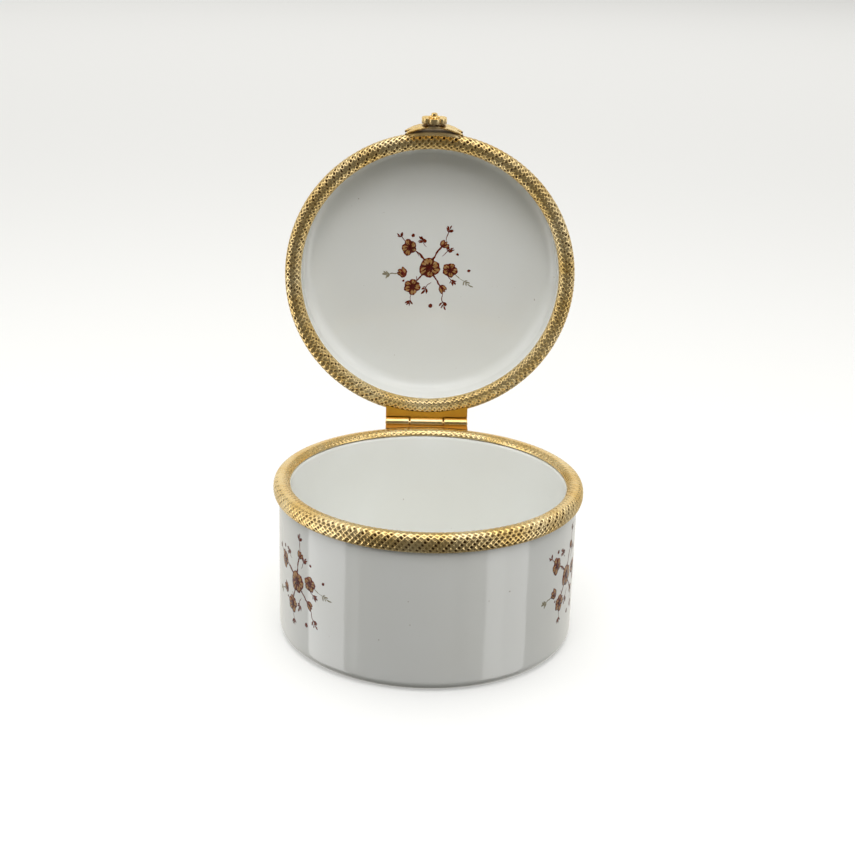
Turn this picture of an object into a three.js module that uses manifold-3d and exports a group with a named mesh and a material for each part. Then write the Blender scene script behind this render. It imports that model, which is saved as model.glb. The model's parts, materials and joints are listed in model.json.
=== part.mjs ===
// Hinged porcelain trinket box, standing open.
//
// A glazed porcelain cup and a shallow porcelain lid each wear an embossed brass bezel, bedded in cement over the rim.
// The bezels meet face to face. A three-knuckle brass hinge joins them at the back, and a sprung flower clasp on the
// lid's bezel snaps over the cup's bezel at the front.
//
// Frame: millimetres, +Z up, the front is -Y, the hinge is at +Y, and the origin is the centre of the flat foot.
// Each half is drawn in one frame of its own: its bezel's crest lies at Z 0, its porcelain hangs below, and the hinge
// axis runs along X at +Y, half of the closed gap above the crest. The lid's half is then turned over.
import * as THREE from "three";
import { mergeVertices } from "three/addons/utils/BufferGeometryUtils.js";
import Module from "manifold-3d";

const wasm = await Module();
wasm.setup();

// Driving dimensions
const bezelRadius = 32.5; // widest radius of both bezels
const cupHeight = 34; // foot to the crest of the cup's bezel
const cupDepth = 31; // inside
const lidHeight = 11.2; // crest of the lid's bezel to the edge of its top
const lidDepth = 8.4; // inside
const lidCrown = 0.5; // rise of the lid's top at its centre
const porcelainRadius = 31.3;
const porcelainBore = 28.8;
const openAngle = THREE.MathUtils.degToRad(88); // the lid on its stop
const closedGap = 0.2; // between the two bezels when shut
const turns = 60; // facets around a revolved piece
const tubeTurns = 24; // facets around a hinge tube

// Bezel: rolled sheet brass, a superellipse in section, open underneath
const bezel = { halfWidth: 1.8, halfHeight: 1.95, power: 0.8, sheet: 0.4, skirtEnd: -64, lipEnd: 180 };
const bezelCentre = new THREE.Vector2(bezelRadius - bezel.halfWidth, -bezel.halfHeight);

// Porcelain rim, a tongue that stands up inside the bezel
const rim = { top: -0.65, chamfer: -1.1, chamferRadius: 30.2, inner: 29.6, ledge: -2.2, ledgeRound: 0.35 };

// Hinge
const tube = { radius: 1.3, bore: 0.65, centreLength: 7.5, endLength: 5.4, gap: 0.25 };
const pin = { radius: 0.55, proud: 0.1, round: 0.15 };
const hingeLength = tube.centreLength + 2 * (tube.endLength + tube.gap);
const axisY = bezelRadius + tube.radius + 0.4;
const axisZ = closedGap / 2;
const bearer = { wrap: 2.1, drop: 3.0, foot: 1.2, reach: 4.2, top: 0.12, bezelGap: 0.12, ownGap: 0.05, otherGap: 0.2 };
const stopGap = THREE.MathUtils.degToRad(0.25); // keeps each bearer's bevel off the meeting plane

// Clasp, with levels measured up from the bezel's crest
const plate = { inner: 32.75, outer: 33.3, halfWidth: 5.6, halfHeight: 3.1, corner: 1.0 };
const solderPad = { inner: 32.58, from: -2.3, to: -1.0 };
const snapBead = { inner: 32.58, from: 2.6, to: 3.0 };
const leaves = { length: 6.5, halfWidth: 1.5, splay: 18, archInner: 12.8, sheet: 0.55, crest: 34.85, middle: 2.4 };
const flower = { petals: 6, radius: 2.35, scallop: 0.5, back: 34.95, front: 36.2 };
const button = { base: 1.05, top: 0.65, rise: 0.85 };

// ---- solids and cuts ----

function solid(geometry) {
  const bare = new THREE.BufferGeometry();
  bare.setAttribute("position", geometry.getAttribute("position"));
  bare.setIndex(geometry.index);
  const merged = mergeVertices(bare, 1e-4);
  const vertProperties = merged.getAttribute("position").array;
  const triVerts = new Uint32Array(merged.index.array);
  return new wasm.Manifold(new wasm.Mesh({ numProp: 3, vertProperties, triVerts }));
}

function geometryOf(manifold) {
  const made = manifold.getMesh();
  const shared = new THREE.BufferGeometry();
  shared.setAttribute("position", new THREE.BufferAttribute(made.vertProperties, 3));
  shared.setIndex(new THREE.BufferAttribute(made.triVerts, 1));
  const faceted = shared.toNonIndexed();
  faceted.computeVertexNormals();
  return faceted;
}

const joined = (pieces) => pieces.reduce((sum, piece) => sum.add(piece));

// A list of [radius, height] pairs as an outline.
const outline = (...pairs) => pairs.map(([radius, height]) => new THREE.Vector2(radius, height));

// An outline of radius and height, turned about Z.
function revolve(points, segments = turns) {
  return new THREE.LatheGeometry(points, segments).rotateX(Math.PI / 2);
}

// A ring about Z with a rectangular section.
function ring(inner, outer, from, to) {
  return revolve(outline([inner, from], [outer, from], [outer, to], [inner, to], [inner, from]));
}

// A shape in X and Z, extruded towards the front from Y = -from to Y = -to.
function slab(shape, from, to) {
  const options = { depth: to - from, bevelEnabled: false, curveSegments: 5 };
  return new THREE.ExtrudeGeometry(shape, options).rotateX(Math.PI / 2).translate(0, -from, 0);
}

// A round outline turned about the hinge axis.
function onHingeAxis(points) {
  return revolve(points, tubeTurns).rotateY(Math.PI / 2).translate(0, axisY, axisZ);
}

// ---- porcelain ----

// A dish: the outside climbs from the middle of the base to the rim, and the inside comes back down.
function porcelainDish({ height, depth, crown, corner, cove }) {
  const base = porcelainRadius - corner;
  const path = new THREE.Path();
  path.moveTo(0, -height - crown);
  path.quadraticCurveTo(base / 2, -height - crown, base, -height);
  path.absarc(base, corner - height, corner, -Math.PI / 2, 0, false);
  path.lineTo(porcelainRadius, rim.top);
  path.lineTo(rim.chamferRadius, rim.top);
  path.lineTo(rim.inner, rim.chamfer);
  path.lineTo(rim.inner, rim.ledge);
  path.lineTo(porcelainBore + rim.ledgeRound, rim.ledge);
  path.lineTo(porcelainBore, rim.ledge - rim.ledgeRound);
  path.absarc(porcelainBore - cove, cove - depth, cove, 0, -Math.PI / 2, true);
  path.lineTo(0, -depth);
  return revolve(path.getPoints(2));
}

// ---- bezel and its cement ----

// Points round the bezel's section, a given distance inside its outer face.
function bezelCurve(inset, fromDegrees, toDegrees, steps) {
  const power = (value) => Math.sign(value) * Math.abs(value) ** bezel.power;
  return Array.from({ length: steps + 1 }, (_, step) => {
    const angle = THREE.MathUtils.degToRad(THREE.MathUtils.lerp(fromDegrees, toDegrees, step / steps));
    const across = (bezel.halfWidth - inset) * power(Math.cos(angle));
    const up = (bezel.halfHeight - inset) * power(Math.sin(angle));
    return new THREE.Vector2(bezelCentre.x + across, bezelCentre.y + up);
  });
}

function bezelRing() {
  const outside = bezelCurve(0, bezel.skirtEnd, bezel.lipEnd, 11);
  const inside = bezelCurve(bezel.sheet, bezel.skirtEnd, bezel.lipEnd, 7).reverse();
  return revolve([...outside, ...inside, outside[0]]);
}

// The crescent of cement that fills the outer half of the bezel, against the porcelain wall.
function cementRing() {
  const crescent = bezelCurve(bezel.sheet + 0.1, -56, 56, 4);
  const wall = porcelainRadius + 0.12;
  const inner = outline([wall, crescent.at(-1).y], [wall, crescent[0].y]);
  return revolve([...crescent, ...inner, crescent[0]]);
}

// ---- hinge ----

const knuckles = {
  left: [-hingeLength / 2, -tube.centreLength / 2 - tube.gap],
  centre: [-tube.centreLength / 2, tube.centreLength / 2],
  right: [tube.centreLength / 2 + tube.gap, hingeLength / 2],
};

function knuckle([from, to]) {
  const { radius, bore } = tube;
  return onHingeAxis(outline([bore, from], [radius, from], [radius, to], [bore, to], [bore, from]));
}

function hingePin() {
  const { radius, round } = pin;
  const end = hingeLength / 2 + pin.proud;
  const lower = outline([0, -end], [radius - round, -end], [radius, round - end]);
  const upper = outline([radius, end - round], [radius - round, end], [0, end]);
  return onHingeAxis([...lower, ...upper]);
}

// The bar that carries one half's knuckles. It is hollowed round every knuckle, cut to the bezel that it is brazed to,
// and bevelled at the back: the two bars' bevels meet when the lid is fully open, and stop it there.
function hingeBearer(ownKnuckles) {
  const section = new THREE.Shape();
  section.moveTo(-bearer.reach, -bearer.top);
  section.lineTo(-bearer.reach, -bearer.drop);
  section.lineTo(-bearer.foot, -bearer.drop);
  section.lineTo(0, -bearer.wrap);
  section.absarc(0, 0, bearer.wrap, -Math.PI / 2, -openAngle / 2 - stopGap, false);
  section.lineTo(0, 0);
  section.lineTo(0, -bearer.top);
  section.closePath();
  const bar = new THREE.ExtrudeGeometry(section, { depth: hingeLength, bevelEnabled: false, curveSegments: 4 });
  bar.translate(0, 0, -hingeLength / 2).rotateX(Math.PI / 2).rotateZ(Math.PI / 2).translate(0, axisY, axisZ);

  const hollows = Object.entries(knuckles).map(([name, [from, to]]) => {
    const radius = tube.radius + (ownKnuckles.includes(name) ? bearer.ownGap : bearer.otherGap);
    const [start, end] = [from - tube.gap / 2, to + tube.gap / 2];
    return solid(onHingeAxis(outline([0, start], [radius, start], [radius, end], [0, end])));
  });
  const face = bezelCurve(-bearer.bezelGap, -90, 90, 9);
  const inside = porcelainBore;
  const behind = outline([inside, face.at(-1).y], [inside, face[0].y]);
  const bezelSpace = solid(revolve([...face, ...behind, face[0]]));
  return geometryOf(solid(bar).subtract(joined(hollows)).subtract(bezelSpace));
}

// ---- clasp ----

function roundedRectangle(halfWidth, halfHeight, corner) {
  const shape = new THREE.Shape();
  const [x, y] = [halfWidth - corner, halfHeight - corner];
  shape.absarc(x, y, corner, 0, Math.PI / 2, false);
  shape.absarc(-x, y, corner, Math.PI / 2, Math.PI, false);
  shape.absarc(-x, -y, corner, Math.PI, 1.5 * Math.PI, false);
  shape.absarc(x, -y, corner, 1.5 * Math.PI, 2 * Math.PI, false);
  shape.closePath();
  return shape;
}

// The sprung tongue, curved with the box: brazed to the lid's bezel along a pad, with a bead that snaps past the cup's.
function claspPlate() {
  const rings = [
    ring(plate.inner, plate.outer, -plate.halfHeight, plate.halfHeight),
    ring(solderPad.inner, plate.outer, solderPad.from, solderPad.to),
    ring(snapBead.inner, plate.outer, snapBead.from, snapBead.to),
  ];
  const reach = roundedRectangle(plate.halfWidth, plate.halfHeight, plate.corner);
  return geometryOf(joined(rings.map(solid)).intersect(solid(slab(reach, 30, 35))));
}

// Four leaves round a disc, arched so that their tips come down to the plate.
function claspLeaves() {
  const leaf = new THREE.Shape();
  leaf.moveTo(0, 0);
  leaf.quadraticCurveTo(leaves.length * 0.55, 2 * leaves.halfWidth, leaves.length, 0);
  leaf.quadraticCurveTo(leaves.length * 0.55, -2 * leaves.halfWidth, 0, 0);
  const disc = new THREE.Shape().absarc(0, 0, leaves.middle, 0, 2 * Math.PI, false);
  const directions = [leaves.splay, 180 - leaves.splay, 180 + leaves.splay, -leaves.splay];
  const flat = directions.map((degrees) => {
    return solid(slab(leaf, 30, 36).rotateY(THREE.MathUtils.degToRad(-degrees)));
  });
  const archOuter = leaves.archInner + leaves.sheet;
  const arch = ring(leaves.archInner, archOuter, -6, 6).translate(0, archOuter - leaves.crest, 0);
  return geometryOf(joined([...flat, solid(slab(disc, 30, 36))]).intersect(solid(arch)));
}

// A flower with thick petals and a button at its centre.
function claspFlower() {
  const steps = 8 * flower.petals;
  const edge = Array.from({ length: steps }, (_, step) => {
    const angle = (2 * Math.PI * step) / steps;
    const radius = flower.radius + flower.scallop * Math.abs(Math.cos((angle * flower.petals) / 2));
    return new THREE.Vector2(radius * Math.cos(angle), radius * Math.sin(angle));
  });
  const petals = slab(new THREE.Shape(edge), flower.back, flower.front);
  const knob = outline([0, -0.2], [button.base, -0.2], [button.top, button.rise], [0, button.rise]);
  const raised = revolve(knob, tubeTurns).rotateX(Math.PI / 2).translate(0, -flower.front, 0);
  return geometryOf(solid(petals).add(solid(raised)));
}

// ---- assembly ----

const porcelain = new THREE.MeshStandardMaterial({ color: 0xe9eae6, roughness: 0.12, metalness: 0 });
const gilt = new THREE.MeshStandardMaterial({ color: 0xd9a441, roughness: 0.28, metalness: 1 });
const cement = new THREE.MeshStandardMaterial({ color: 0xd8d2c4, roughness: 0.9, metalness: 0 });

function mesh(name, geometry, material) {
  const made = new THREE.Mesh(geometry, material);
  made.name = name;
  return made;
}

// One half of the box on the hinge axis.
function half(...meshes) {
  const centred = new THREE.Group().add(...meshes);
  centred.position.set(0, -axisY, -axisZ);
  const hinged = new THREE.Group().add(centred);
  hinged.position.set(0, axisY, cupHeight + axisZ);
  return hinged;
}

const cupDish = porcelainDish({ height: cupHeight, depth: cupDepth, crown: 0, corner: 2.2, cove: 3 });
const cup = half(
  mesh("porcelain_cup", cupDish, porcelain),
  mesh("cup_bezel", bezelRing(), gilt),
  mesh("cup_bezel_cement", cementRing(), cement),
  mesh("cup_hinge_bearer", hingeBearer(["left", "right"]), gilt),
  mesh("cup_knuckle_left", knuckle(knuckles.left), gilt),
  mesh("cup_knuckle_right", knuckle(knuckles.right), gilt),
  mesh("hinge_pin", hingePin(), gilt),
);

const lidDish = porcelainDish({ height: lidHeight, depth: lidDepth, crown: lidCrown, corner: 3, cove: 2 });
const lid = half(
  mesh("porcelain_lid", lidDish, porcelain),
  mesh("lid_bezel", bezelRing(), gilt),
  mesh("lid_bezel_cement", cementRing(), cement),
  mesh("lid_hinge_bearer", hingeBearer(["centre"]), gilt),
  mesh("lid_knuckle_centre", knuckle(knuckles.centre), gilt),
  mesh("clasp_plate", claspPlate(), gilt),
  mesh("clasp_leaves", claspLeaves(), gilt),
  mesh("clasp_flower", claspFlower(), gilt),
);
lid.rotation.set(-openAngle, Math.PI, 0); // turned over to close the box, then opened

const box = new THREE.Group().add(cup, lid);
export default box;
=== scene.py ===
# Hinged porcelain trinket box: the fine surface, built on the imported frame.
# Each half is modelled in millimetres, with its bezel's crest at Z 0 and its porcelain below,
# and is then put in place.
import json
import math
import random

import bmesh
import bpy
import numpy as np
from mathutils import Matrix, Quaternion, Vector, noise


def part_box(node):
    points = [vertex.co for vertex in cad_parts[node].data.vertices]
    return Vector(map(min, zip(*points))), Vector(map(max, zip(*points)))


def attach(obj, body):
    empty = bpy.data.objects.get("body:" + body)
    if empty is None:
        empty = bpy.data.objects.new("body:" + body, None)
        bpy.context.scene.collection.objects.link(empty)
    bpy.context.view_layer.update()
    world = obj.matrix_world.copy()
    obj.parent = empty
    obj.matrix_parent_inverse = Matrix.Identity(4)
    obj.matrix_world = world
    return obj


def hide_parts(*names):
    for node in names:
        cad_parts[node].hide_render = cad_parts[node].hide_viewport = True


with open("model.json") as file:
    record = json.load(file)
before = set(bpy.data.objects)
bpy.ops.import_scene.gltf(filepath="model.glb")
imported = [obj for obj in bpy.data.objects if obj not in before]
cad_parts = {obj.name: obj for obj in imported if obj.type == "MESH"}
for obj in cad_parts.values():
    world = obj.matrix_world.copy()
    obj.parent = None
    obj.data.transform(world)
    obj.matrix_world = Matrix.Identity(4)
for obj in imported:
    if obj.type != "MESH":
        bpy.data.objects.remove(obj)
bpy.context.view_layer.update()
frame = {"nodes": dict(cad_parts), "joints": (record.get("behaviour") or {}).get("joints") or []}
print("frame loaded")

mm = 0.001
full = 2 * math.pi

hinge = frame["joints"][0]
openAngle = math.radians(hinge["range_deg"][1])
hingePoint = Vector(hinge["pos_m"]) / mm
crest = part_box("cup_bezel")[1].z / mm  # foot to the top of the cup's bezel
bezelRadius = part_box("cup_bezel")[1].x / mm
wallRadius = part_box("porcelain_cup")[1].x / mm
axisY = hingePoint.y
axisZ = hingePoint.z - crest  # hinge axis over a bezel's crest

toCup = Matrix.Scale(mm, 4) @ Matrix.Translation((0, 0, crest))
toLid = (
    Matrix.Scale(mm, 4)
    @ Matrix.Translation(hingePoint)
    @ Matrix.Rotation(-openAngle, 4, "X")
    @ Matrix.Rotation(math.pi, 4, "Y")
    @ Matrix.Translation((0, -axisY, -axisZ))
)
toHalf = {"cup": toCup, "lid": toLid}


def halfBox(node, body):
    # a node's lowest and highest corners in its half's own frame
    back = toHalf[body].inverted()
    points = np.array([back @ v.co for v in frame["nodes"][node].data.vertices])
    return Vector(points.min(0)), Vector(points.max(0))


lidHeight = -halfBox("porcelain_lid", "lid")[0].z  # crest of the lid's bezel to the middle of its top

view = {"lens": 64.5, "distance": 0.3185, "elevation": 19.06, "azimuth": 1.32, "roll": 1.48}
view["aim"] = Vector((-0.0005, 0, 0.0448))


def addCamera():
    data = bpy.data.cameras.new("camera")
    data.lens = view["lens"]
    camera = bpy.data.objects.new("camera", data)
    bpy.context.scene.collection.objects.link(camera)
    a, e = math.radians(view["azimuth"]), math.radians(view["elevation"])
    ahead = Vector((math.sin(a) * math.cos(e), math.cos(a) * math.cos(e), -math.sin(e)))
    turn = Quaternion((0, 0, 1), math.radians(view["roll"]))
    camera.location = view["aim"] - ahead * view["distance"]
    camera.rotation_euler = (ahead.to_track_quat("-Z", "Y") @ turn).to_euler()
    bpy.context.scene.camera = camera


studio = {
    "world": (1.0, 0.98, 0.91),
    "worldFront": 0.15, "worldBack": 0.9,
    "floor": (0.55, 0.55, 0.54), "floorGlow": 0.33,
    "softboxes": [  # name, place, what it faces, width, height, power, seen in reflections
        ("topSoftbox", (0.0, -0.22, 0.33), (0, 0.03, 0.06), 0.26, 0.20, 0.60, False),
        ("topCard", (0.0, -0.06, 0.52), (0, 0.02, 0.06), 0.52, 0.52, 1.7, True),
        ("leftSoftbox", (-0.44, -0.06, 0.24), (0, 0, 0.03), 0.30, 0.36, 0.5, True),
        ("rightSoftbox", (0.40, -0.16, 0.24), (0, 0, 0.03), 0.28, 0.36, 0.38, True),
        ("leftCard", (-0.44, -0.06, -0.22), (0, 0, -0.22), 0.30, 0.36, 0.7, True),
        ("rightCard", (0.38, -0.20, -0.22), (0, 0, -0.22), 0.28, 0.36, 0.5, True),
        ("backSoftbox", (0.0, 1.3, 1.1), (0, 1.3, 0), 2.6, 1.8, 14, False),
    ],
}


def addLights():
    world = bpy.data.worlds.new("studio")
    world.use_nodes = True
    nodes, links = world.node_tree.nodes, world.node_tree.links
    nodes["Background"].inputs["Color"].default_value = (*studio["world"], 1)
    direction = nodes.new("ShaderNodeSeparateXYZ")
    links.new(nodes.new("ShaderNodeTexCoord").outputs["Generated"], direction.inputs[0])
    # a dim room in front of the box and a pale one behind it
    front, back = studio["worldFront"], studio["worldBack"]
    strength = ranged(nodes, links, direction.outputs["Y"], 0.0, 0.65, front, back)
    links.new(strength, nodes["Background"].inputs["Strength"])
    bpy.context.scene.world = world
    bpy.context.scene.view_settings.view_transform = "Standard"
    for name, place, aim, width, height, power, reflected in studio["softboxes"]:
        data = bpy.data.lights.new(name, "AREA")
        data.shape = "RECTANGLE"
        data.size, data.size_y, data.energy = width, height, power
        light = bpy.data.objects.new(name, data)
        bpy.context.scene.collection.objects.link(light)
        light.location = place
        light.visible_glossy = reflected
        light.visible_camera = False
        light.rotation_euler = (Vector(aim) - light.location).to_track_quat("-Z", "Y").to_euler()


def addFloor():
    bm = bmesh.new()
    bmesh.ops.create_grid(bm, x_segments=1, y_segments=1, size=3)
    mesh = bpy.data.meshes.new("floor")
    bm.to_mesh(mesh)
    bm.free()
    mesh.materials.append(floorPaper())
    floor = bpy.data.objects.new("floor", mesh)
    bpy.context.scene.collection.objects.link(floor)
    floor.visible_diffuse = floor.visible_glossy = False  # keeps its glare off the cup and the gilding


def newMaterial(name):
    material = bpy.data.materials.new(name)
    material.use_nodes = True
    nodes, links = material.node_tree.nodes, material.node_tree.links
    return material, nodes, links, nodes["Principled BSDF"]


def newGroup(name, inputs, outputs):
    group = bpy.data.node_groups.new(name, "ShaderNodeTree")
    for label, kind, value in inputs:
        socket = group.interface.new_socket(label, in_out="INPUT", socket_type="NodeSocket" + kind)
        socket.default_value = value
    for label, kind in outputs:
        group.interface.new_socket(label, in_out="OUTPUT", socket_type="NodeSocket" + kind)
    entry = group.nodes.new("NodeGroupInput").outputs
    leave = group.nodes.new("NodeGroupOutput").inputs
    return group, group.nodes, group.links, entry, leave


def setSocket(links, socket, value):
    if isinstance(value, bpy.types.NodeSocket):
        links.new(value, socket)
    elif isinstance(value, tuple):
        socket.default_value = (*value, 1)
    else:
        socket.default_value = value


def noiseMask(nodes, links, scale, detail=3.0, low=0.0, high=1.0):
    texture = nodes.new("ShaderNodeTexNoise")
    setSocket(links, texture.inputs["Scale"], scale)
    texture.inputs["Detail"].default_value = detail
    links.new(nodes.new("ShaderNodeTexCoord").outputs["Object"], texture.inputs["Vector"])
    if (low, high) == (0, 1):
        return texture.outputs["Fac"]
    return ranged(nodes, links, texture.outputs["Fac"], low, high)


def ranged(nodes, links, value, fromLow, fromHigh, toLow=0.0, toHigh=1.0):
    node = nodes.new("ShaderNodeMapRange")
    for socket, number in zip(list(node.inputs)[:5], (value, fromLow, fromHigh, toLow, toHigh)):
        setSocket(links, socket, number)
    return node.outputs["Result"]


def mixed(nodes, links, factor, first, second):
    node = nodes.new("ShaderNodeMix")
    node.data_type = "RGBA"
    colours = [socket for socket in node.inputs if socket.type == "RGBA"]
    setSocket(links, node.inputs["Factor"], factor)
    setSocket(links, colours[0], first)
    setSocket(links, colours[1], second)
    return next(socket for socket in node.outputs if socket.type == "RGBA")


def attributeValue(nodes, name):
    node = nodes.new("ShaderNodeAttribute")
    node.attribute_name = name
    return node.outputs["Fac"]


def addBump(nodes, links, shader, height, strength, distance):
    bump = nodes.new("ShaderNodeBump")
    bump.inputs["Strength"].default_value = strength
    bump.inputs["Distance"].default_value = distance
    links.new(height, bump.inputs["Height"])
    links.new(bump.outputs["Normal"], shader.inputs["Normal"])


def floorPaper():
    material, nodes, links, shader = newMaterial("floorPaper")
    shader.inputs["Base Color"].default_value = (*studio["floor"], 1)
    shader.inputs["Emission Color"].default_value = (1, 1, 0.99, 1)
    shader.inputs["Emission Strength"].default_value = studio["floorGlow"]
    shader.inputs["Roughness"].default_value = 0.9
    return material


glaze = {"white": (0.79, 0.80, 0.775), "warm": (0.77, 0.775, 0.74), "smooth": 0.05, "dull": 0.11}


def glazedPorcelain():
    material, nodes, links, shader = newMaterial("glazedPorcelain")
    cloud = noiseMask(nodes, links, 45, 2, 0.35, 0.65)
    speck = noiseMask(nodes, links, 1500, 0, 0.87, 0.93)
    tint = mixed(nodes, links, cloud, glaze["white"], glaze["warm"])
    tint = mixed(nodes, links, speck, tint, (0.45, 0.41, 0.35))
    links.new(tint, shader.inputs["Base Color"])
    gloss = ranged(nodes, links, noiseMask(nodes, links, 260), 0.35, 0.65, glaze["smooth"], glaze["dull"])
    links.new(gloss, shader.inputs["Roughness"])
    shader.inputs["IOR"].default_value = 1.52
    addBump(nodes, links, shader, noiseMask(nodes, links, 120, 1), 0.3, 0.0002)
    return material


def unglazedFoot():
    material, nodes, links, shader = newMaterial("unglazedFoot")
    grain = noiseMask(nodes, links, 1500, 3)
    bisque = mixed(nodes, links, grain, (0.62, 0.58, 0.50), (0.74, 0.71, 0.64))
    links.new(bisque, shader.inputs["Base Color"])
    shader.inputs["Roughness"].default_value = 0.85
    addBump(nodes, links, shader, grain, 0.6, 0.00005)
    return material


def ringCement():
    material, nodes, links, shader = newMaterial("ringCement")
    grain = noiseMask(nodes, links, 900, 4)
    sand = mixed(nodes, links, grain, (0.55, 0.50, 0.42), (0.72, 0.68, 0.60))
    links.new(sand, shader.inputs["Base Color"])
    shader.inputs["Roughness"].default_value = 0.9
    addBump(nodes, links, shader, grain, 0.7, 0.0001)
    return material


gilding = {
    "gold": (0.87, 0.60, 0.22),
    "pale": (0.97, 0.77, 0.42),
    # orange gold, mixed in as painted reflection of gold on gold
    "warm": (0.92, 0.49, 0.06),
    # the hollows' colour, standing for tarnish plus painted shade
    "tarnishAndShade": (0.10, 0.045, 0.01),
}


def gildingGroup():
    # gold where Relief is 1, deep brown where it is 0: tarnish in the bezel's hollows together with painted
    # shade there, and painted shade on the shaded faces of the clasp and the bearers
    inputs = [
        ("Relief", "Float", 1.0),
        ("Grain", "Float", 900.0),
        ("Polish", "Float", 0.2),
        ("WarmReflection", "Float", 0.0),
    ]
    outputs = [("Colour", "Color"), ("Roughness", "Float"), ("Height", "Float")]
    group, nodes, links, entry, leave = newGroup("gilding", inputs, outputs)
    blotch = noiseMask(nodes, links, 130, 4, 0.35, 0.65)
    gold = mixed(nodes, links, blotch, gilding["gold"], gilding["pale"])
    # painted reflection: orange where gold faces gold
    gold = mixed(nodes, links, entry["WarmReflection"], gold, gilding["warm"])
    shown = ranged(nodes, links, entry["Relief"], 0.12, 0.72)
    links.new(mixed(nodes, links, shown, gilding["tarnishAndShade"], gold), leave["Colour"])
    grain = noiseMask(nodes, links, entry["Grain"], 2)
    links.new(grain, leave["Height"])
    worn = nodes.new("ShaderNodeMath")
    worn.operation = "MULTIPLY_ADD"
    links.new(grain, worn.inputs[0])
    worn.inputs[1].default_value = 0.12
    links.new(entry["Polish"], worn.inputs[2])
    tarnish = ranged(nodes, links, shown, 0, 1, 0.55, 0)
    total = nodes.new("ShaderNodeMath")
    links.new(worn.outputs[0], total.inputs[0])
    links.new(tarnish, total.inputs[1])
    links.new(total.outputs[0], leave["Roughness"])
    return group


def giltMetal(name, group, polish, relief=None, warm=0.0, bump=0.3):
    # without a relief of its own, the metal reads the piece's attribute
    material, nodes, links, shader = newMaterial(name)
    gild = nodes.new("ShaderNodeGroup")
    gild.node_tree = group
    gild.inputs["Polish"].default_value = polish
    # warm sets how much painted orange reflection of gold on gold is mixed in
    gild.inputs["WarmReflection"].default_value = warm
    shown = attributeValue(nodes, "relief") if relief is None else relief
    setSocket(links, gild.inputs["Relief"], shown)
    shader.inputs["Metallic"].default_value = 1.0
    links.new(gild.outputs["Colour"], shader.inputs["Base Color"])
    links.new(gild.outputs["Roughness"], shader.inputs["Roughness"])
    addBump(nodes, links, shader, gild.outputs["Height"], bump, 0.00003)
    return material


enamel = {  # name, full colour and thin colour
    "enamelRed": ((0.125, 0.014, 0.004), (0.24, 0.045, 0.015)),
    "enamelOchre": ((0.36, 0.17, 0.05), (0.56, 0.38, 0.18)),
    "enamelGreen": ((0.24, 0.21, 0.13), (0.45, 0.42, 0.33)),
    "enamelCore": ((0.07, 0.004, 0.001), (0.14, 0.012, 0.004)),
}


def overglazeEnamel(name, colour, thin):
    # printed colour, thinner in places so that the white shows through
    material, nodes, links, shader = newMaterial(name)
    patchy = noiseMask(nodes, links, 1600, 3, 0.45, 0.95)
    links.new(mixed(nodes, links, patchy, colour, thin), shader.inputs["Base Color"])
    shader.inputs["Roughness"].default_value = 0.25
    shader.inputs["IOR"].default_value = 1.45
    shader.inputs["Specular IOR Level"].default_value = 0.3
    return material


def arc(x, z, radius, start, end, steps):
    angles = np.radians(np.linspace(start, end, steps + 1))
    return [(x + radius * math.cos(a), z + radius * math.sin(a)) for a in angles]


def line(x0, z0, x1, z1, steps):
    return [(x0 + (x1 - x0) * t, z0 + (z1 - z0) * t) for t in np.linspace(0, 1, steps + 1)]


def turned(outline, steps, closed=False):
    # wraps a grid round Z along an outline of (radius, height); its point attribute "relief" starts at 1
    section = np.array(outline + outline[:1] if closed else outline)
    rows = len(section) - 1
    bm = bmesh.new()
    layer = bm.verts.layers.float.new("relief")
    bmesh.ops.create_grid(bm, x_segments=steps, y_segments=rows, size=1)
    for v in bm.verts:
        around = (v.co.x + 1) * math.pi
        radius, height = section[round((v.co.y + 1) / 2 * rows)]
        v.co = (radius * math.cos(around), radius * math.sin(around), height)
        v[layer] = 1
    bmesh.ops.remove_doubles(bm, verts=bm.verts, dist=0.0005)
    bmesh.ops.recalc_face_normals(bm, faces=bm.faces)
    return bm


def joinInto(bm, part):
    mesh = bpy.data.meshes.new("part")
    part.to_mesh(mesh)
    part.free()
    bm.from_mesh(mesh)
    bpy.data.meshes.remove(mesh)


def finishPiece(bm, name, body, materials, replaced=(), sharp=35):
    bm.transform(toHalf[body])
    mesh = bpy.data.meshes.new(name)
    bm.to_mesh(mesh)
    bm.free()
    for material in materials:
        mesh.materials.append(material)
    mesh.shade_smooth()
    if sharp:
        mesh.set_sharp_from_angle(angle=math.radians(sharp))
    piece = bpy.data.objects.new(name, mesh)
    bpy.context.scene.collection.objects.link(piece)
    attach(piece, body)
    if replaced:
        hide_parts(*replaced)
    return piece


dish = {
    "bore": 28.8, "rimEase": 4.5, "cupRim": (-1.35, 28.93), "lidRim": (-2.05, 28.86),
    "cupFloor": 3.0, "cupCorner": 2.3, "cupCove": 3.4,
    "footInner": 25.9, "footOuter": 28.6, "footRise": 0.6,
    "lidDepth": 8.4, "lidCorner": 3.2, "lidCrown": 0.5, "lidCove": 2.4,
    "steps": 256, "wobble": 0.05, "wobbleSize": 22,
}


def rimOutline(top, lip):
    # from the outer wall over the hidden rim, then easing from just behind the bezel's lip down to the bore
    bore, ease = dish["bore"], dish["rimEase"]
    points = [(wallRadius, top), (lip + 0.7, top), (lip + 0.15, top - 0.1), (lip, top - 0.3)]
    for t in np.linspace(0.1, 1, 9):
        points.append((bore + (lip - bore) * (1 - t) ** 2, top - 0.3 - ease * t))
    return points


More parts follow.
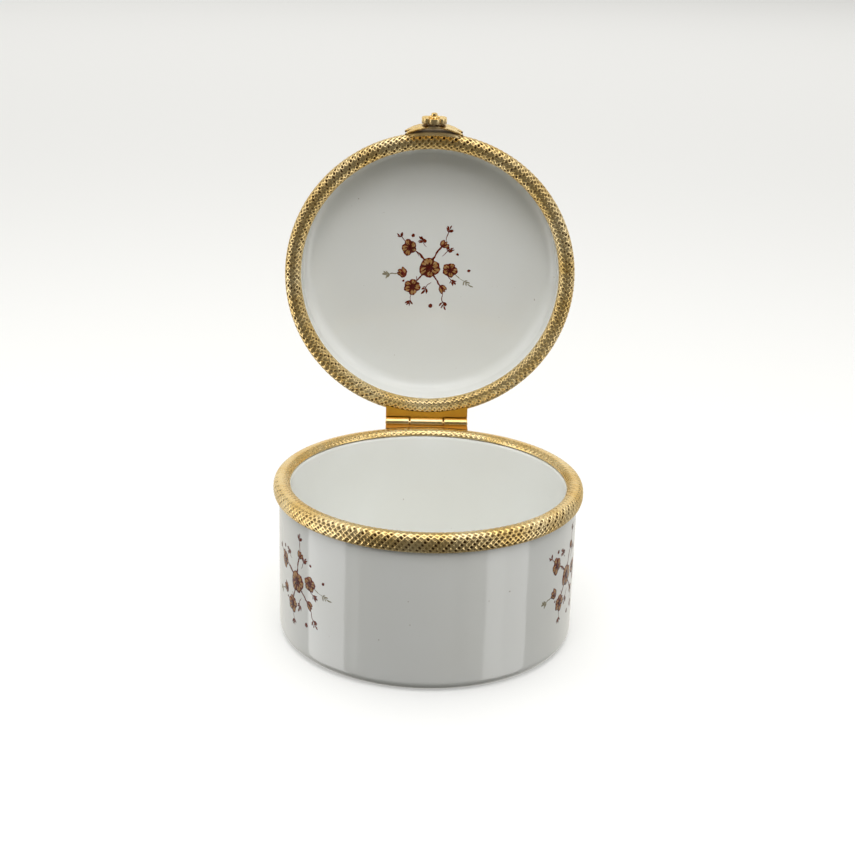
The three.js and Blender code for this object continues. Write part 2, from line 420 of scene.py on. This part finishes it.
def cupOutline():
    foot, wall, bore = -crest, wallRadius, dish["bore"]
    inner, outer, rise = dish["footInner"], dish["footOuter"], dish["footRise"]
    corner, cove, floor = dish["cupCorner"], dish["cupCove"], dish["cupFloor"] - crest
    under = line(0, foot + rise, inner - 0.8, foot + rise, 6) + [(inner - 0.2, foot + 0.25)]
    under += line(inner, foot, outer, foot, 3)
    side = arc(wall - corner, foot + corner, corner, -82, 0, 12) + line(wall, foot + 4, wall, -4, 16)
    inside = line(bore, -6.5, bore, floor + cove + 0.5, 8)
    inside += arc(bore - cove, floor + cove, cove, 0, -90, 12)
    inside += line(bore - cove - 2, floor, 0, floor - 0.05, 6)
    return under + side + rimOutline(*dish["cupRim"]) + inside


def lidTopLevel(radius):
    edge = wallRadius - dish["lidCorner"]
    return -lidHeight + dish["lidCrown"] * (radius / edge) ** 2


def lidOutline():
    wall, bore, corner, cove = wallRadius, dish["bore"], dish["lidCorner"], dish["lidCove"]
    edge = wall - corner
    top = [(r, lidTopLevel(r)) for r in np.linspace(0, edge - 1, 10)]
    side = arc(edge, lidTopLevel(edge) + corner, corner, -87, 0, 14)
    inside = arc(bore - cove, cove - dish["lidDepth"], cove, -12, -90, 10)
    floor = line(bore - cove - 2, -dish["lidDepth"], 0, -dish["lidDepth"], 6)
    return top + side + line(wall, -6, wall, -3, 3) + rimOutline(*dish["lidRim"])[:-2] + inside + floor


def wobble(bm):
    # the slight unevenness of a hand-finished body
    for v in bm.verts:
        radius = math.hypot(v.co.x, v.co.y)
        push = noise.noise(v.co / dish["wobbleSize"]) * dish["wobble"] * min(1, radius / 10)
        if radius > 0:
            v.co.xy *= 1 + push / radius


def addPorcelain(name, body, outline, materials):
    bm = turned(outline, dish["steps"])
    if len(materials) > 1:
        for face in bm.faces:
            middle = face.calc_center_median()
            radius = math.hypot(middle.x, middle.y)
            low = middle.z < 0.06 - crest
            face.material_index = int(low and dish["footInner"] - 0.1 < radius < dish["footOuter"] + 0.1)
    wobble(bm)
    finishPiece(bm, name, body, materials, ["porcelain_" + body], 40)


bezel = {
    "halfWidth": 1.8, "halfHeight": 1.95, "power": 0.8, "sheet": 0.35, "skirtEnd": -64,
    "cells": 160, "rows": 9.2, "around": 1440, "across": 56,
    "cup": {
        "lipEnd": 160, "phase": 0.4, "low": 0.40, "high": 0.97,
        "shape": 5, "depth": 0.22, "wear": 0.65, "crown": 0.62,
    },
    "lid": {
        "lipEnd": 180, "phase": 2.1, "low": 0.46, "high": 0.95,
        "shape": 3, "depth": 0.21, "wear": 0.3, "crown": 0.1,
    },
}


def bezelSection(inset, start, end, steps):
    def power(value):
        return math.copysign(abs(value) ** bezel["power"], value)

    points = []
    for angle in np.radians(np.linspace(start, end, steps + 1)):
        across = (bezel["halfWidth"] - inset) * power(math.cos(angle))
        up = (bezel["halfHeight"] - inset) * power(math.sin(angle))
        points.append((bezelRadius - bezel["halfWidth"] + across, up - bezel["halfHeight"]))
    return points


def smoothStep(value, low, high):
    t = np.clip((value - low) / (high - low), 0, 1)
    return t * t * (3 - 2 * t)


def lattice(around, turn, chosen):
    # embossed diamonds, 1 on the ridges and 0 in the bottom of each hollow, and how deep they are pressed
    phase = chosen["phase"]
    u = bezel["cells"] * around / full
    v = bezel["rows"] * turn / full
    drift = 0.35 * np.sin(2 * around + phase) + 0.2 * np.sin(5 * around + 2 * phase)
    lean = 0.2 * np.sin(3 * around + phase)
    rising, falling = u + v * (1 + lean) + drift, u - v * (1 - lean) + 0.6 * drift
    first, second = np.abs(rising % 1 - 0.5) * 2, np.abs(falling % 1 - 0.5) * 2
    column, row = np.floor(rising) % bezel["cells"], np.floor(falling) % bezel["cells"]
    struck = np.sin(column * 12.9898 + row * 78.233)  # scattered over -1 to 1
    apart = (first ** chosen["shape"] + second ** chosen["shape"]) ** (1 / chosen["shape"])
    patches = np.sin(7 * around + 3 * phase) * np.sin(4 * around - 9 * turn / full + phase)
    side = 0.42 + 0.42 * np.sin(around) - 0.18 * np.cos(around)
    worn = chosen["wear"] * np.clip(side + 0.25 * patches, 0, 1)
    crown = chosen["crown"] * np.exp(-(((turn - 1.75) / 0.62) ** 4))  # the crest is rubbed nearly smooth
    ridges = np.clip((apart - chosen["low"]) / (chosen["high"] - chosen["low"]), 0, 1) ** 1.2
    return ridges, (1 - worn * 0.8) * (1 - crown) * (0.8 + 0.2 * struck)  # no two are struck alike


def addBezel(name, body):
    chosen = bezel[body]
    outer = bezelSection(0, bezel["skirtEnd"], chosen["lipEnd"], bezel["across"])
    inner = bezelSection(bezel["sheet"], chosen["lipEnd"], bezel["skirtEnd"], 6)
    bm = turned(outer + inner, bezel["around"], closed=True)
    co = np.array([v.co for v in bm.verts])
    radius = np.hypot(co[:, 0], co[:, 1])
    away = radius - (bezelRadius - bezel["halfWidth"])
    up = co[:, 2] + bezel["halfHeight"]
    around, turn = np.arctan2(co[:, 1], co[:, 0]), np.arctan2(up, away)
    turn = np.where(turn < -math.pi / 2, turn + full, turn)  # the lip's end lies past half a turn
    level = (np.abs(away / bezel["halfWidth"]) ** 2.5 + np.abs(up / bezel["halfHeight"]) ** 2.5) ** 0.4
    outside = level > 0.93
    start, end = math.radians(bezel["skirtEnd"]), math.radians(chosen["lipEnd"])
    plain = smoothStep(turn, start + 0.1, start + 0.25) * smoothStep(-turn, -end + 0.12, -end + 0.4)
    ridges, depth = lattice(around, turn, chosen)
    depth = depth * plain * outside
    pressed = (1 - ridges) * depth
    layer = bm.verts.layers.float["relief"]
    for v, share, a, b, r in zip(bm.verts, pressed, away, up, radius):
        push = chosen["depth"] * share / math.hypot(a, b)
        v.co.xy *= 1 - push * a / r
        v.co.z -= push * b
        # the pits take the hollow colour: tarnish, and painted shade in them
        v[layer] = 1 - share
    finishPiece(bm, name, body, [giltBezel], [body + "_bezel"], None)


knuckle = {"radius": 1.3, "bore": 0.66, "round": 0.16, "steps": 64}
pinEnd = {"radius": 0.55, "dome": 0.14}


def onAxis(bm):
    # from its own Z axis to the hinge axis, along X
    bm.transform(Matrix.Translation((0, axisY, axisZ)) @ Matrix.Rotation(math.pi / 2, 4, "Y"))
    return bm


def addKnuckle(node, body):
    low, high = halfBox(node, body)
    radius, bore, curve = knuckle["radius"], knuckle["bore"], knuckle["round"]
    outline = line(bore, low.x, radius - curve, low.x, 2)
    outline += arc(radius - curve, low.x + curve, curve, -80, 0, 4)
    outline += line(radius, low.x + 0.4, radius, high.x - 0.4, 6)
    outline += arc(radius - curve, high.x - curve, curve, 0, 90, 4) + [(bore, high.x)]
    bm = onAxis(turned(outline, knuckle["steps"], closed=True))
    finishPiece(bm, node.replace("_knuckle_", "Knuckle_"), body, [giltHinge], [node], 40)


def addPin():
    low, high = halfBox("hinge_pin", "cup")
    radius, dome = pinEnd["radius"], pinEnd["dome"]
    end = [(0, 0), (radius * 0.6, 0.03), (radius * 0.9, dome), (radius, 2 * dome)]
    outline = [(r, low.x + rise) for r, rise in end] + [(r, high.x - rise) for r, rise in reversed(end)]
    bm = onAxis(turned(outline, 40))
    finishPiece(bm, "hingePin", "cup", [giltHinge], ["hinge_pin"], 40)


clasp = {
    "plateIn": 32.75, "sheet": 0.5, "halfWidth": 5.6, "halfHeight": 3.1, "bead": 0.15, "beadLevel": 2.75,
    "leafLength": 6.6, "leafHalfWidth": 1.55, "splay": 18, "leafSheet": 0.4,
    "archRadius": 12.8, "archCrest": 34.3,
    "petals": 6, "petalBack": 34.95, "petalFront": 36.15, "buttonFront": 37.05, "grains": 9,
}


def newRelief():
    bm = bmesh.new()
    bm.verts.layers.float.new("relief")
    return bm


def setRelief(bm, value):
    layer = bm.verts.layers.float["relief"]
    for v in bm.verts:
        v[layer] = value(v)


def addClaspPlate():
    bm = newRelief()
    bmesh.ops.create_grid(bm, x_segments=48, y_segments=40, size=1)
    inner = clasp["plateIn"]
    for v in bm.verts:
        a, b = v.co.x, v.co.y
        x = clasp["halfWidth"] * a * math.sqrt(1 - 0.14 * b**8)
        z = clasp["halfHeight"] * b * math.sqrt(1 - 0.14 * a**8)
        bead = clasp["bead"] * math.exp(-(((z - clasp["beadLevel"]) / 0.18) ** 2))
        radius = inner - bead
        v.co = (x, -math.sqrt(radius**2 - x**2), z)
    bmesh.ops.recalc_face_normals(bm, faces=bm.faces)
    if sum(face.normal.y for face in bm.faces) > 0:
        bmesh.ops.reverse_faces(bm, faces=bm.faces)
    bmesh.ops.solidify(bm, geom=bm.faces[:], thickness=-clasp["sheet"])
    bmesh.ops.recalc_face_normals(bm, faces=bm.faces)
    # painted shade: the plate's outer face, under the leaves, is given a low relief; the face against the
    # bezel stays bright
    setRelief(bm, lambda v: 0.35 if math.hypot(v.co.x, v.co.y) > inner + 0.3 else 0.8)
    finishPiece(bm, "claspPlate", "lid", [giltClasp], ["clasp_plate"], 30)


def archLevel(x):
    # how far out the leaves' backs lie at a distance from the middle
    return clasp["archCrest"] - clasp["archRadius"] + math.sqrt(clasp["archRadius"] ** 2 - x**2)


def addLeaf(bm, degrees):
    made = bmesh.ops.create_grid(bm, x_segments=28, y_segments=16, size=0.5)["verts"]
    layer = bm.verts.layers.float["relief"]
    turn = math.radians(degrees)
    for v in made:
        along, side = v.co.x + 0.5, 2 * v.co.y
        half = clasp["leafHalfWidth"] * math.sin(math.pi * along**0.8) ** 0.8 + 0.02
        half *= 1 + 0.05 * math.sin(34 * along)
        groove = math.exp(-((side / 0.13) ** 2))
        veins = 0.5 + 0.5 * math.cos(30 * along - 9 * abs(side))
        rise = 0.32 * (1 - side**2) * math.sin(math.pi * along)
        rise += 0.09 * veins * (1 - abs(side)) - 0.2 * groove
        x = clasp["leafLength"] * along
        z = side * half
        x, z = x * math.cos(turn) - z * math.sin(turn), x * math.sin(turn) + z * math.cos(turn)
        v.co = (x, -archLevel(min(abs(x), 7)) - 0.1 - max(rise, 0), z)
        # darker along the midrib groove and between the veins: tarnish and painted shade in the creases
        v[layer] = 1 - 0.75 * groove - 0.25 * (1 - veins)
    return made


def addClaspLeaves():
    bm = newRelief()
    splay = clasp["splay"]
    for degrees in (splay, 180 - splay, 180 + splay, -splay):
        addLeaf(bm, degrees)
    disc = bmesh.ops.create_circle(bm, cap_ends=True, cap_tris=True, segments=48, radius=2.3)["verts"]
    layer = bm.verts.layers.float["relief"]
    for v in disc:
        v.co = (v.co.x, -archLevel(v.co.x) - 0.12, v.co.y)
        # painted shade on the backing disc under the flower
        v[layer] = 0.5
    bmesh.ops.recalc_face_normals(bm, faces=bm.faces)
    for face in bm.faces:
        if face.normal.y > 0:
            face.normal_flip()
    made = bmesh.ops.solidify(bm, geom=bm.faces[:], thickness=clasp["leafSheet"])["geom"]
    for v in made:
        if isinstance(v, bmesh.types.BMVert):
            v[layer] = 0.3  # painted shade on the leaves' backs, in the hollow behind them
    bmesh.ops.recalc_face_normals(bm, faces=bm.faces)
    finishPiece(bm, "claspLeaves", "lid", [giltClasp], ["clasp_leaves"], 40)


def addPetal(bm, degrees):
    # a thick rounded petal with a cupped top, its own Z axis pointing out of the front
    back, front = clasp["petalBack"], clasp["petalFront"]
    part = newRelief()
    bmesh.ops.create_circle(part, cap_ends=True, segments=20, radius=1)
    for v in part.verts:
        v.co = (1.83 + 1.02 * v.co.x, 1.12 * v.co.y * (1 + 0.28 * v.co.x), back)
    made = bmesh.ops.extrude_face_region(part, geom=part.faces[:])["geom"]
    raised = [v for v in made if isinstance(v, bmesh.types.BMVert)]
    bmesh.ops.translate(part, verts=raised, vec=(0, 0, front - back))
    top = max(part.faces, key=lambda face: face.calc_center_median().z)
    bmesh.ops.inset_individual(part, faces=[top], thickness=0.34, depth=-0.24)
    rim = [e for e in part.edges if min(v.co.z for v in e.verts) > front - 0.01 and len(e.link_faces) == 2]
    rim = [e for e in rim if abs(e.link_faces[0].normal.z * e.link_faces[1].normal.z) < 0.3]
    bmesh.ops.bevel(part, geom=rim, offset=0.2, segments=3, profile=0.5, affect="EDGES", material=-1)
    part.transform(Matrix.Rotation(math.radians(degrees), 4, "Z"))
    joinInto(bm, part)


def addClaspFlower():
    bm = newRelief()
    for k in range(clasp["petals"]):
        addPetal(bm, 360 * (k + 0.5) / clasp["petals"])
    front = clasp["buttonFront"]
    button = [(0, 0), (0.45, 0.02), (0.62, 0.12), (0.68, 0.3), (0.7, 0.75), (0.95, 0.85), (1.1, 1.1)]
    button = [(radius, front - below) for radius, below in button]
    joinInto(bm, turned(button + [(1.1, 35.2), (0, 35.2)], 32))
    for k in range(clasp["grains"]):
        turn = Matrix.Rotation(full * k / clasp["grains"], 4, "Z")
        place = turn @ Matrix.Translation((1.05, 0, clasp["petalFront"]))
        bmesh.ops.create_icosphere(bm, subdivisions=2, radius=0.24, matrix=place)
    bmesh.ops.recalc_face_normals(bm, faces=bm.faces)
    front = clasp["petalFront"]
    # painted shade: the flower darkens towards its back, where the petals overhang
    setRelief(bm, lambda v: float(smoothStep(v.co.z, front - 0.9, front - 0.2)) * 0.7 + 0.3)
    bm.transform(Matrix.Rotation(math.pi / 2, 4, "X"))  # its own Z axis now points out of the front
    finishPiece(bm, "claspFlower", "lid", [giltClasp], ["clasp_flower"], 40)


spray = {
    "sink": 0.02, "level": 0.01, "uneven": 0.3, "seed": 7,
    "centre": 2.6, "arms": 6, "reach": (4.2, 7.0), "flower": (1.3, 2.1), "edge": 10.3, "leaf": (0.8, 1.4),
}


def stroke(bm, start, bend, end, width, ends, colour, level):
    # a brush stroke along a bent line, narrowing to both ends
    steps = max(6, round((Vector(end) - Vector(start)).length / 0.25))
    made = bmesh.ops.create_grid(bm, x_segments=steps, y_segments=4, size=0.5)["verts"]
    a, b, c = Vector(start), Vector(bend), Vector(end)
    faces = {face for v in made for face in v.link_faces}
    for v in made:
        t, side = v.co.x + 0.5, 2 * v.co.y
        along = 2 * (1 - t) * (b - a) + 2 * t * (c - b)
        across = Vector((-along.y, along.x)).normalized()
        reach = max(0.012, width * max(0, math.sin(math.pi * t)) ** ends)
        spot = (1 - t) ** 2 * a + 2 * t * (1 - t) * b + t * t * c + across * side * reach
        uneven = noise.noise_vector(spot.to_3d() * 0.9) * spray["uneven"]
        uneven += noise.noise_vector(spot.to_3d() * 3.1) * spray["uneven"] * 0.3
        v.co = (spot.x + uneven.x, spot.y + uneven.y, level)
    for face in faces:
        face.material_index = colour


def polar(centre, radius, degrees):
    turn = math.radians(degrees)
    return centre[0] + radius * math.cos(turn), centre[1] + radius * math.sin(turn)


def drop(bm, rng, centre, inner, outer, degrees, width, ends, colour, height):
    start, end = polar(centre, inner, degrees), polar(centre, outer, degrees)
    middle = polar(centre, (inner + outer) / 2, degrees + rng.uniform(-6, 6))
    stroke(bm, start, middle, end, width, ends, colour, height * spray["level"])


# colours: 0 red, 1 ochre, 2 grey green, 3 dark core
def drawBlossom(bm, rng, centre, size, petals):
    turn = rng.uniform(0, 360)
    for k in range(petals):
        angle = turn + 360 * k / petals + rng.uniform(-7, 7)
        reach = size * rng.uniform(0.82, 1.05)
        drop(bm, rng, centre, 0.1 * size, reach, angle, 0.48 * size, 0.5, 0, 1)
        for inner, outer, lean, thin, thick in ((0.28, 0.84, -9, 0.12, 0.17), (0.40, 0.92, 12, 0.10, 0.15)):
            width = rng.uniform(thin, thick) * size
            drop(bm, rng, centre, inner * size, reach * outer, angle + lean, width, 0.6, 1, 2)
        drop(bm, rng, centre, 0.1 * size, reach * rng.uniform(0.5, 0.75), angle + 2, 0.06 * size, 0.7, 3, 3)
    drop(bm, rng, centre, -0.34 * size, 0.30 * size, turn + 60, 0.17 * size, 0.5, 3, 4)
    drop(bm, rng, centre, -0.26 * size, 0.28 * size, turn + 130, 0.14 * size, 0.5, 3, 5)


def drawBell(bm, rng, mouth, size, opens):
    level = spray["level"]
    root = polar(mouth, -0.55 * size, opens)
    for side in (-34, 34, 0):
        tip, bend = polar(mouth, size, opens + side), polar(mouth, 0.5 * size, opens + 2.1 * side)
        height = 1 if side else 3
        stroke(bm, root, bend, tip, (0.36 if side else 0.3) * size, 0.55, 0, height * level)
        inner = Vector(root).lerp(Vector(bend), 0.45), bend, Vector(tip).lerp(Vector(bend), 0.25)
        stroke(bm, *inner, (0.17 if side else 0.09) * size, 0.5, 1, (height + 1) * level)
    drop(bm, rng, mouth, -0.1 * size, 0.4 * size, opens, 0.14 * size, 0.5, 3, 5)


def drawTwig(bm, rng, start, length, degrees, colour):
    # a bent stem with pairs of leaves and one at its tip
    level = spray["level"]
    bend = polar(start, length / 2, degrees + rng.uniform(-16, 16))
    end = polar(start, length, degrees)
    stroke(bm, start, bend, end, 0.09, 0.2, colour, level)
    for share in (0.45, 0.75, 1.0):
        root = Vector(bend).lerp(Vector(end), share)
        for side in (0,) if share == 1 else (-48, 48):
            size = rng.uniform(*spray["leaf"])
            angle = degrees + side + rng.uniform(-12, 12)
            middle = polar(root, size / 2, angle + rng.uniform(-20, 20))
            stroke(bm, root, middle, polar(root, size, angle), 0.2 * size**0.5, 0.7, colour, level)


def drawSpray(bm, rng):
    # a loose posy: flowers, twigs and berries scattered round a bloom in the middle
    arms, level = spray["arms"], spray["level"]
    for k in range(arms):
        angle = 360 * k / arms + rng.uniform(-20, 20)
        far, size = rng.uniform(*spray["reach"]), rng.uniform(*spray["flower"])
        spot = polar((0, 0), far, angle)
        if k % 3:
            stem = polar((0, 0), far / 2, angle + rng.uniform(-40, 40))
            stroke(bm, (0, 0), stem, spot, 0.2, 0.2, 0, level)
        tip = angle + rng.uniform(-35, 35)
        drawTwig(bm, rng, polar(spot, 0.8 * size, tip), spray["edge"] - far - size, tip, 0 if k % 3 else 2)
        if k % 2:
            drawBell(bm, rng, spot, size, angle + rng.uniform(-60, 60))
        else:
            drawBlossom(bm, rng, spot, size, 5)
    for k in range(arms):
        angle = 360 * (k + 0.5) / arms + rng.uniform(-16, 16)
        start = polar((0, 0), rng.uniform(2.8, 5.0), angle)
        drawTwig(bm, rng, start, rng.uniform(1.8, 3.0), angle + rng.uniform(-70, 70), 0)
        berry = rng.uniform(0.28, 0.6)
        place = polar((0, 0), rng.uniform(6.2, 9.2), angle + rng.uniform(-20, 20))
        drop(bm, rng, place, -berry, berry, angle, berry * 0.9, 0.5, 0, 1)
    drawBlossom(bm, rng, (0, 0), spray["centre"], 6)


def addPrints(name, body, places):
    noise.seed_set(spray["seed"])  # the strokes are as uneven in every run
    bm = bmesh.new()
    for place in places:
        part = bmesh.new()
        drawSpray(part, random.Random(spray["seed"]))  # every print comes from the same transfer
        bmesh.ops.recalc_face_normals(part, faces=part.faces)
        for face in part.faces:
            if face.normal.z < 0:
                face.normal_flip()
        bmesh.ops.solidify(part, geom=part.faces[:], thickness=spray["sink"])
        for v in part.verts:
            v.co = place(v.co)
        wobble(part)
        joinInto(bm, part)
    bmesh.ops.recalc_face_normals(bm, faces=bm.faces)
    finishPiece(bm, name, body, enamels, sharp=None)


def onWall(degrees, level, tilt):
    def place(co):
        spot = Matrix.Rotation(math.radians(tilt), 4, "Z") @ co
        turn = math.radians(degrees) + spot.x / wallRadius
        radius = wallRadius + co.z
        return radius * math.sin(turn), -radius * math.cos(turn), level + spot.y

    return place


def inLid(co):
    return -co.x, -co.y - 0.6, co.z - dish["lidDepth"]


def onLid(co):
    return -co.x, co.y, lidTopLevel(math.hypot(co.x, co.y)) - co.z


addCamera()
addLights()
addFloor()
print("camera, lights and floor in place")

gildingNodes = gildingGroup()
porcelain = glazedPorcelain()
giltBezel = giltMetal("giltBezel", gildingNodes, 0.20)
# its warm share is a painted orange reflection from the gold around it
giltHinge = giltMetal("giltHinge", gildingNodes, 0.17, relief=1.0, warm=0.15, bump=0.15)
# the bearers are a shaded copy of the gilding: relief 0.6 is painted shade, and the full warm share is
# painted orange reflection of the gold around them
giltBearerShaded = giltMetal("giltBearerShaded", gildingNodes, 0.25, relief=0.6, warm=1.0, bump=0.5)
giltClasp = giltMetal("giltClasp", gildingNodes, 0.20)
enamels = [overglazeEnamel(name, strong, thin) for name, (strong, thin) in enamel.items()]
cement = ringCement()
print("materials made")

addPorcelain("cupPorcelain", "cup", cupOutline(), [porcelain, unglazedFoot()])
addPorcelain("lidPorcelain", "lid", lidOutline(), [porcelain])
print("porcelain turned")

addBezel("cupBezel", "cup")
addBezel("lidBezel", "lid")
print("bezels embossed")

addKnuckle("cup_knuckle_left", "cup")
addKnuckle("cup_knuckle_right", "cup")
addKnuckle("lid_knuckle_centre", "lid")
addPin()
for node, material in (
    ("cup_hinge_bearer", giltBearerShaded),
    ("lid_hinge_bearer", giltBearerShaded),
    ("cup_bezel_cement", cement),
    ("lid_bezel_cement", cement),
):
    frame["nodes"][node].data.materials.clear()
    frame["nodes"][node].data.materials.append(material)
print("hinge made")

addClaspPlate()
addClaspLeaves()
addClaspFlower()
print("clasp made")

addPrints("cupPrints", "cup", [onWall(-58, -17.0, 20), onWall(66, -16.2, 8), onWall(183, -16.5, 0)])
addPrints("lidPrints", "lid", [inLid, onLid])
print("flowers printed")
